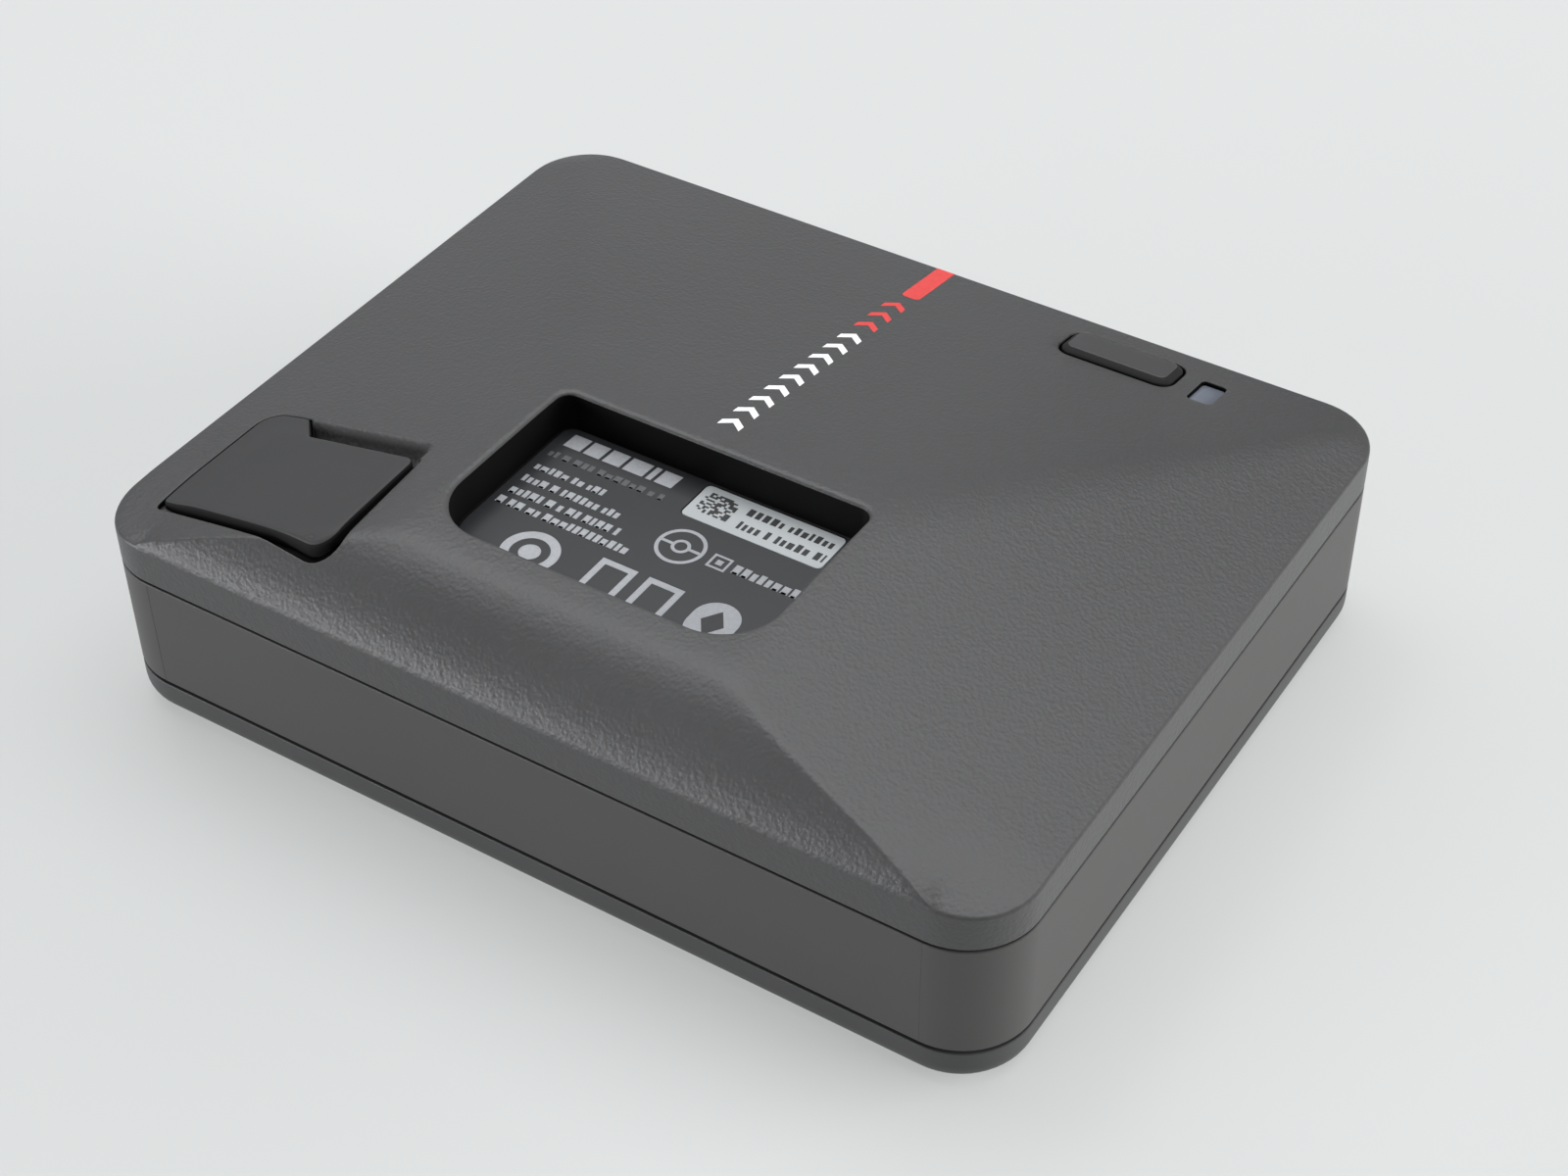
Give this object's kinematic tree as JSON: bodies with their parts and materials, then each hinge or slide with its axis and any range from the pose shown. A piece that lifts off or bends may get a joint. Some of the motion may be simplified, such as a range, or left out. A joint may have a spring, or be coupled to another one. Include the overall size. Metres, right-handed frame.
{
  "type": "launch monitor",
  "caption": "Pocket radar launch monitor for golf: a faceted hand-sized case with a rear clip pocket, power button, status light and rubber port cover.",
  "frame": {"origin": "centre of the footprint on the plane that the front (radome) face rests on", "axes": "+X along the long side away from the charging port, +Y along the short side towards the power button, +Z out of the back cover"},
  "size_m": [0.0888, 0.071, 0.0254],
  "materials": {
    "cover_plastic": "fine spark-eroded texture, matt",
    "frame_plastic": "fine spark-eroded texture, matt",
    "radome": "fine texture, matt",
    "seal_black": "black silicone",
    "flap_rubber": "soft matt elastomer",
    "button_plastic": "smooth matt",
    "light_pipe": "frosted light grey diffuser",
    "label_film": "satin printed film",
    "paper_white": "satin white film",
    "tinned_steel": "tin plated",
    "black_plastic": "moulded",
    "led_body": "clear epoxy",
    "circuit_board": "solder mask",
    "gold_plate": "gold flash on copper",
    "chip_epoxy": "moulded epoxy",
    "connector_plastic": "moulded nylon",
    "flex_film": "polyimide film",
    "tape": "double-sided tape",
    "battery_foil": "laminated foil pouch",
    "foam": "closed-cell foam",
    "wire_red": "insulation",
    "wire_black": "insulation",
    "ferrite": "ferrite",
    "magnet_nickel": "nickel plated",
    "steel": "cold rolled",
    "screw_steel": "zinc plated",
    "brass_insert": "knurled"
  },
  "bodies": {
    "case": {"front_cover": "radome", "mid_frame": "frame_plastic", "back_cover": "cover_plastic", "front_seal": "seal_black", "back_seal": "seal_black", "recess_label": "label_film", "code_sticker": "paper_white", "flap_anchor": "flap_rubber", "usb_shell": "tinned_steel", "usb_tongue": "black_plastic", "usb_gasket": "seal_black", "switch_body": "tinned_steel", "light_window": "light_pipe", "status_led": "led_body", "radar_board": "circuit_board", "transmit_antenna": "gold_plate", "receive_antenna": "gold_plate", "radar_chip": "chip_epoxy", "radar_shield": "tinned_steel", "radar_socket": "connector_plastic", "radar_flex": "flex_film", "board_radar_socket": "connector_plastic", "battery_tape": "tape", "battery_cell": "battery_foil", "battery_pad": "foam", "battery_protection_board": "circuit_board", "battery_plug": "connector_plastic", "battery_socket": "connector_plastic", "battery_lead_red": "wire_red", "battery_lead_black": "wire_black", "main_board": "circuit_board", "processor": "chip_epoxy", "memory_chip": "chip_epoxy", "bluetooth_module": "tinned_steel", "power_chip": "chip_epoxy", "power_inductor": "ferrite", "motion_sensor": "chip_epoxy", "mount_magnet_left": "magnet_nickel", "mount_magnet_right": "magnet_nickel", "magnet_yoke": "steel", "case_screw_1": "screw_steel", "case_insert_1": "brass_insert", "board_screw_1": "screw_steel", "case_screw_2": "screw_steel", "case_insert_2": "brass_insert", "board_screw_2": "screw_steel", "case_screw_3": "screw_steel", "case_insert_3": "brass_insert", "board_screw_3": "screw_steel", "case_screw_4": "screw_steel", "case_insert_4": "brass_insert", "board_screw_4": "screw_steel", "radar_screw_1": "screw_steel", "radar_screw_2": "screw_steel"},
    "port_flap": {"usb_flap": "flap_rubber"},
    "button": {"power_button": "button_plastic", "button_boot": "seal_black", "switch_plunger": "black_plastic"}
  },
  "joints": [
    {"name": "flap_hinge", "type": "hinge", "parent": "case", "child": "port_flap", "pos_m": [-0.03842, -0.0246, 0.02093], "axis": [0, -1, 0], "range_deg": [0, 110]},
    {"name": "power_press", "type": "slide", "parent": "case", "child": "button", "axis": [0, 0, -1], "range_m": [0, 0.00035], "stiffness_N_per_m": 4000, "springref_m": -0.0001}
  ]
}
